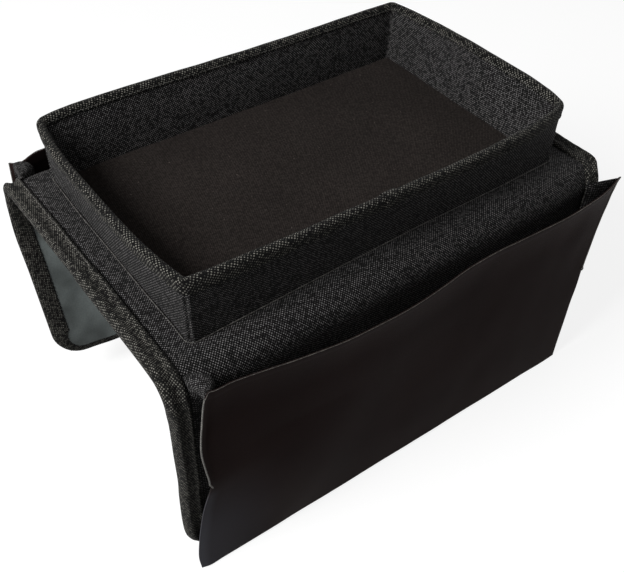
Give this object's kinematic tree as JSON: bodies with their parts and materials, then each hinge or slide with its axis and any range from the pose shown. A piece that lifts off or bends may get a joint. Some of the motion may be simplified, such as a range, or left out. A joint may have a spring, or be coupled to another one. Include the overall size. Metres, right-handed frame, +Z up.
{
  "type": "armrest organizer",
  "caption": "Foam-cored fabric mat that saddles an armrest, with a walled tray sewn on top and a gusseted pocket on each hanging flap.",
  "frame": {"origin": "middle of the lining's underside, where the mat rests on the armrest", "axes": "+X along the armrest and the tray, +Y across the armrest away from the front flap, +Z up"},
  "size_m": [0.36, 0.2681, 0.2339],
  "materials": {
    "oxford": "coarse black oxford weave",
    "tape": "black woven binding tape",
    "nylon": "smooth black nylon cloth",
    "floor_cloth": "close black weave, faintly brown",
    "grey_lining": "smooth grey lining cloth",
    "edge_cord": "dark grey edge cord",
    "foam": "white closed-cell foam",
    "board": "grey stiffening board"
  },
  "bodies": {
    "saddle": {"back_shoulder": "oxford", "back_shoulder_binding_left": "tape", "back_shoulder_binding_right": "tape", "front_shoulder": "oxford", "front_shoulder_binding_left": "tape", "front_shoulder_binding_right": "tape", "saddle_binding_left": "tape", "saddle_binding_right": "tape", "saddle_foam": "foam", "saddle_lining": "grey_lining", "saddle_shell": "oxford", "tray_base_board": "board", "tray_base_welt": "edge_cord", "tray_floor_cover": "floor_cloth", "tray_inner_lining": "oxford", "tray_outer_cover": "oxford", "tray_rim_binding": "tape", "tray_rim_lap": "tape", "tray_wall_board_back": "board", "tray_wall_board_front": "board", "tray_wall_board_left": "board", "tray_wall_board_right": "board"},
    "front_flap": {"front_flap_shell": "tape", "front_flap_foam": "foam", "front_flap_lining": "grey_lining", "front_flap_binding": "tape", "front_pocket_bottom": "nylon", "front_pocket_gusset_left": "oxford", "front_pocket_gusset_right": "oxford"},
    "front_pocket": {"front_pocket_panel": "nylon", "front_pocket_hem": "nylon", "front_pocket_piping_left": "edge_cord", "front_pocket_piping_right": "edge_cord"},
    "back_flap": {"back_flap_shell": "tape", "back_flap_foam": "foam", "back_flap_lining": "grey_lining", "back_flap_binding": "tape", "back_pocket_bottom": "nylon", "back_pocket_gusset_left": "oxford", "back_pocket_gusset_right": "oxford"},
    "back_pocket": {"back_pocket_panel": "nylon", "back_pocket_hem": "nylon", "back_pocket_piping_left": "edge_cord", "back_pocket_piping_right": "edge_cord"}
  },
  "joints": [
    {"name": "front_flap_lift", "type": "hinge", "parent": "saddle", "child": "front_flap", "pos_m": [0, -0.10641, -0.00119], "axis": [-1, 0, 0], "range_deg": [0, 90], "deforming": ["front_shoulder", "front_shoulder_binding_left", "front_shoulder_binding_right"]},
    {"name": "back_flap_lift", "type": "hinge", "parent": "saddle", "child": "back_flap", "pos_m": [0, 0.10834, 0.00074], "axis": [1, 0, 0], "range_deg": [0, 90], "deforming": ["back_shoulder", "back_shoulder_binding_left", "back_shoulder_binding_right"]},
    {"name": "front_pocket_mouth", "type": "hinge", "parent": "front_flap", "child": "front_pocket", "pos_m": [0, -0.12416, -0.18255], "axis": [1, 0, 0], "range_deg": [-3, 0], "deforming": ["front_pocket_gusset_left", "front_pocket_gusset_right"]},
    {"name": "back_pocket_mouth", "type": "hinge", "parent": "back_flap", "child": "back_pocket", "pos_m": [0, 0.08873, -0.15878], "axis": [-1, 0, 0], "range_deg": [-2, 0], "deforming": ["back_pocket_gusset_left", "back_pocket_gusset_right"]}
  ]
}
